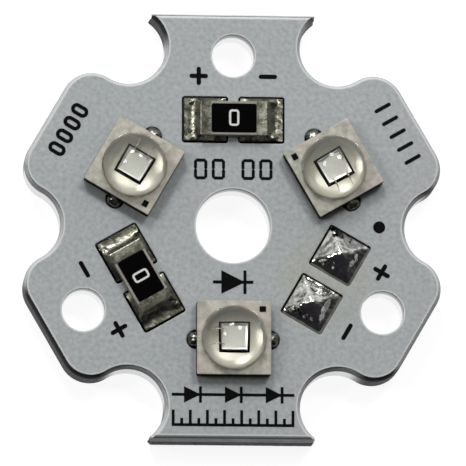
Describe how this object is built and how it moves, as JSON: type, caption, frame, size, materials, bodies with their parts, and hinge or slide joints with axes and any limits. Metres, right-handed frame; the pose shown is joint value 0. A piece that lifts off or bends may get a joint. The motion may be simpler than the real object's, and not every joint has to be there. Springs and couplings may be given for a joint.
{
  "type": "star pcb power led",
  "caption": "Notched hexagonal star circuit board on an aluminium core with domed power LEDs in series, chip jumpers, wire solder pads and a printed legend.",
  "frame": {"origin": "middle of the underside, on the axis of the centre hole", "axes": "+Z out of the lit side, +Y towards the scored tab beside the upper jumper"},
  "size_m": [0.0194, 0.0204, 0.0042],
  "materials": {
    "aluminium": "milled, satin",
    "dielectric": "filled resin",
    "solder_mask": "satin coating",
    "legend_ink": "printed ink",
    "copper": "bright",
    "led_ceramic": "fired ceramic",
    "pad_gold": "plated",
    "field_silver": "silver plate",
    "chip": "polished",
    "dome_silicone": "clear",
    "solder": "reflowed, glossy",
    "cap_tin": "tinned",
    "alumina": "fired ceramic",
    "overcoat": "glazed",
    "white_print": "printed ink"
  },
  "bodies": {
    "root": {"aluminium_base": "aluminium", "dielectric_layer": "dielectric", "solder_mask": "solder_mask", "legend": "legend_ink", "trace_plus_to_led_1": "copper", "trace_led_1_to_jumper_1": "copper", "trace_jumper_1_to_led_2": "copper", "trace_led_2_to_jumper_2": "copper", "trace_jumper_2_to_led_3": "copper", "trace_led_3_to_minus": "copper", "thermal_land_1": "copper", "thermal_land_2": "copper", "thermal_land_3": "copper", "led_1_ceramic": "led_ceramic", "led_1_anode_pad": "pad_gold", "led_1_cathode_pad": "pad_gold", "led_1_thermal_pad": "pad_gold", "led_1_top_metal": "field_silver", "led_1_chip": "chip", "led_1_bond_wires": "pad_gold", "led_1_corner_mark": "legend_ink", "led_1_dome": "dome_silicone", "led_1_solder": "solder", "led_2_ceramic": "led_ceramic", "led_2_anode_pad": "pad_gold", "led_2_cathode_pad": "pad_gold", "led_2_thermal_pad": "pad_gold", "led_2_top_metal": "field_silver", "led_2_chip": "chip", "led_2_bond_wires": "pad_gold", "led_2_corner_mark": "legend_ink", "led_2_dome": "dome_silicone", "led_2_solder": "solder", "led_3_ceramic": "led_ceramic", "led_3_anode_pad": "pad_gold", "led_3_cathode_pad": "pad_gold", "led_3_thermal_pad": "pad_gold", "led_3_top_metal": "field_silver", "led_3_chip": "chip", "led_3_bond_wires": "pad_gold", "led_3_corner_mark": "legend_ink", "led_3_dome": "dome_silicone", "led_3_solder": "solder", "jumper_1_body": "alumina", "jumper_1_cap_in": "cap_tin", "jumper_1_cap_out": "cap_tin", "jumper_1_overcoat": "overcoat", "jumper_1_zero": "white_print", "jumper_1_solder_in": "solder", "jumper_1_solder_out": "solder", "jumper_2_body": "alumina", "jumper_2_cap_in": "cap_tin", "jumper_2_cap_out": "cap_tin", "jumper_2_overcoat": "overcoat", "jumper_2_zero": "white_print", "jumper_2_solder_in": "solder", "jumper_2_solder_out": "solder", "plus_solder": "solder", "minus_solder": "solder"}
  },
  "joints": []
}
